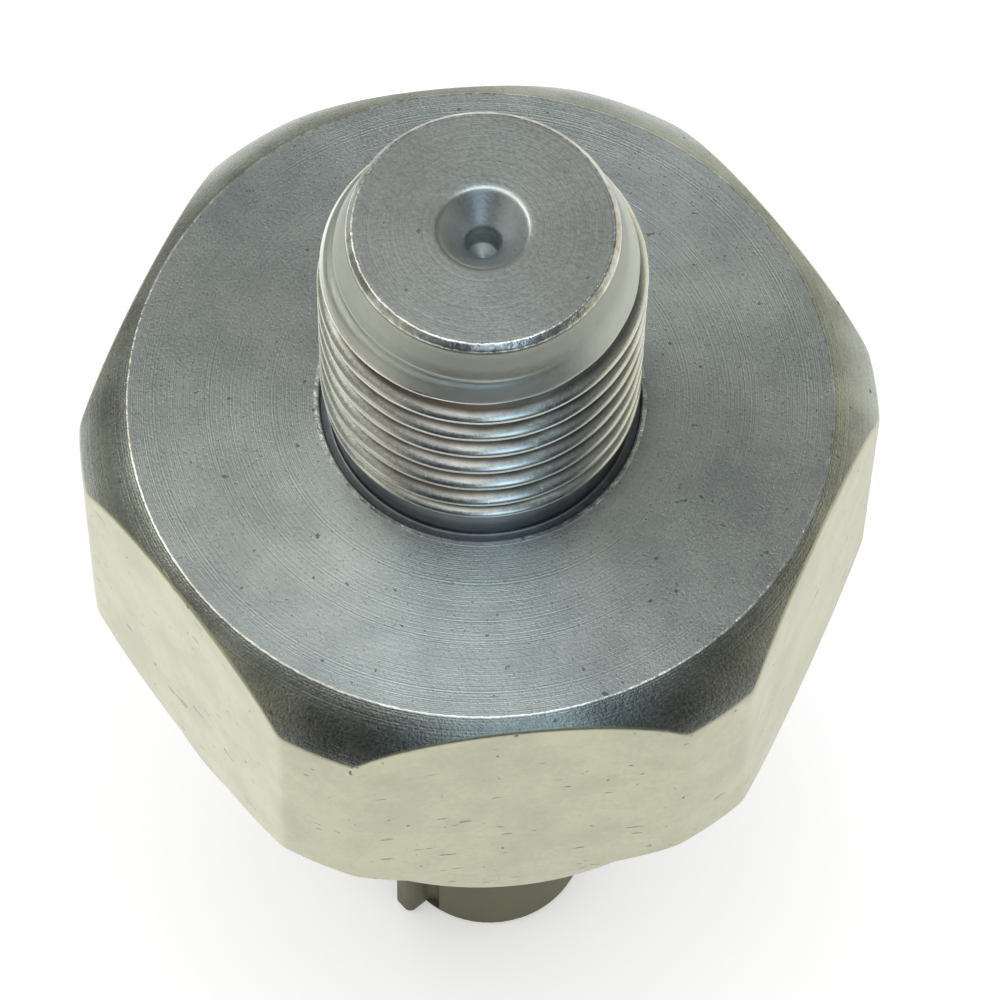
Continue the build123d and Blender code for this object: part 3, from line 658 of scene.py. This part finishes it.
def studioFloor(setting):
    # a flat disc: rings of points at even angles, with one point in the middle
    radius, level, count = setting["floorRadius"], setting["floorLevel"], setting["floorPoints"]
    t = np.linspace(0, 2 * np.pi, count, endpoint=False)
    rim = np.stack([np.cos(t) * radius, np.sin(t) * radius, np.full_like(t, level)], 1)
    points = np.concatenate([rim, [[0, 0, level]]]) * mm
    j = np.arange(count)
    fans = np.stack([np.full(count, count), j, (j + 1) % count], 1)
    mesh = bpy.data.meshes.new("studio_floor")
    mesh.from_pydata(points.tolist(), [], fans.tolist())
    floor = bpy.data.objects.new("studio_floor", mesh)
    bpy.context.scene.collection.objects.link(floor)
    recipe = Recipe(bpy.data.materials.new("paleFloor"))
    x, y, z = recipe.parts(recipe.place())
    ray = recipe.node("ShaderNodeLightPath")
    seen = {name: Wire(recipe, ray.socket.node.outputs[name])
            for name in ("Is Camera Ray", "Is Glossy Ray", "Is Transmission Ray")}
    front, across = inFront(recipe, x, y, setting)
    near, distant = setting["farDim"]
    far = recipe.fade((x * x + y * y) ** 0.5, near * mm, distant * mm)
    right = recipe.fade(across, *setting["rightTurn"])
    dim = front * (setting["nearDim"] + far * (1 - setting["nearDim"]))
    farShare = setting["farShare"] - right * setting["farShareRight"]
    sideDim = (1 - front) * (right * setting["rightDim"] + far * farShare)
    shown = seen["Is Camera Ray"] + seen["Is Glossy Ray"] + seen["Is Transmission Ray"]
    glow = shown * setting["floorGlow"]
    matte = recipe.node("ShaderNodeBsdfDiffuse", values={"Color": setting["floorColour"]})
    light = recipe.node("ShaderNodeEmission", values={"Color": rgb(1, 1, 1), "Strength": glow})
    both = recipe.node("ShaderNodeAddShader", values={0: matte, 1: light})
    dark = recipe.node("ShaderNodeEmission", values={"Color": setting["dark"], "Strength": 1.0})
    back = recipe.fade(y / (x * x + y * y + 1e-6) ** 0.5, *setting["backTurn"])
    sideColour = recipe.blend(back, setting["far"], setting["farBack"])
    olive = recipe.node("ShaderNodeEmission", values={"Color": sideColour, "Strength": 1.0})
    sided = recipe.node("ShaderNodeMixShader", values={0: seen["Is Glossy Ray"] * sideDim, 1: both, 2: olive})
    whole = recipe.node("ShaderNodeMixShader", values={0: seen["Is Glossy Ray"] * dim, 1: sided, 2: dark})
    recipe.node("ShaderNodeOutputMaterial", values={"Surface": whole})
    mesh.materials.append(recipe.owner)


def studioLamps(settings):
    for name, setting in settings.items():
        data = bpy.data.lights.new(name, "AREA")
        data.shape = "RECTANGLE"
        data.size, data.size_y = (side * mm for side in setting["size"])
        data.energy = setting["power"]
        data.color = setting["colour"]
        lamp = bpy.data.objects.new(name, data)
        place = Vector(setting["place"]) * mm
        aim = Vector(lampAim) * mm - place
        lamp.matrix_world = Matrix.Translation(place) @ aim.to_track_quat("-Z", "Y").to_matrix().to_4x4()
        lamp.visible_camera = False
        bpy.context.scene.collection.objects.link(lamp)


def studioWorld(setting):
    # white to the camera and soft to matte surfaces; shiny metal sees a grey ceiling, pale walls on three
    # sides, a dark room behind the camera with a tall cool window in it, and a white card on the left
    world = bpy.data.worlds.new("softStudio")
    bpy.context.scene.world = world
    recipe = Recipe(world)
    direction = recipe.node("ShaderNodeTexCoord", output="Generated")
    x, y, z = recipe.parts(direction)
    front, across = inFront(recipe, x, y, setting)
    right = recipe.fade(across, *setting["rightTurn"])
    ceiling = recipe.blend(right, setting["ceiling"], setting["ceilingRight"])
    leftFront = recipe.fade(y * -1.0 / (x * x + y * y + 1e-6) ** 0.5, *setting["leftFrontTurn"]) * (1 - right)
    wallTop = right * setting["wallTopRight"] + setting["wallTop"] + leftFront * setting["wallTopLeftFront"]
    under, over = setting["wallSoft"]
    sides = recipe.blend(recipe.fade(z, wallTop + under, wallTop + over), setting["wall"], ceiling)
    behind = recipe.blend(recipe.fade(z, *setting["behindRise"]), setting["dark"], setting["ceilingBehind"])
    offSlit = recipe.node("ShaderNodeMath", {"operation": "ABSOLUTE"}, {0: across - setting["slitPlace"]})
    offSlit = offSlit * (0.5 + 0.5 * recipe.fade(z, *setting["slitNarrowing"]))
    slit = recipe.blend(recipe.fade(z, *setting["slitRise"]), setting["slitLow"], setting["slitColour"])
    slit = recipe.blend(recipe.fade(z, *setting["slitFall"]), slit, setting["slitHigh"])
    behind = recipe.blend(recipe.fade(offSlit, *setting["slitWidth"]), slit, behind)
    sky = recipe.blend(front, sides, behind)
    cardX, cardY, cardZ = setting["cardPlace"]
    toCard = x * cardX + y * cardY + z * cardZ
    sky = recipe.blend(recipe.fade(toCard, *setting["cardWidth"]), sky, setting["cardColour"])
    ray = recipe.node("ShaderNodeLightPath")
    camera = Wire(recipe, ray.socket.node.outputs["Is Camera Ray"])
    glossy = Wire(recipe, ray.socket.node.outputs["Is Glossy Ray"])
    unseen = recipe.blend(glossy, setting["soft"], sky)
    colour = recipe.blend(camera, unseen, rgb(1, 1, 1))
    back = recipe.node("ShaderNodeBackground", values={"Color": colour, "Strength": 1.0})
    recipe.node("ShaderNodeOutputWorld", values={"Surface": back})


studioFloor(studio)
studioLamps(lamps)
studioWorld(studio)
bpy.context.scene.view_settings.view_transform = "Standard"
print("knock sensor: studio lit")
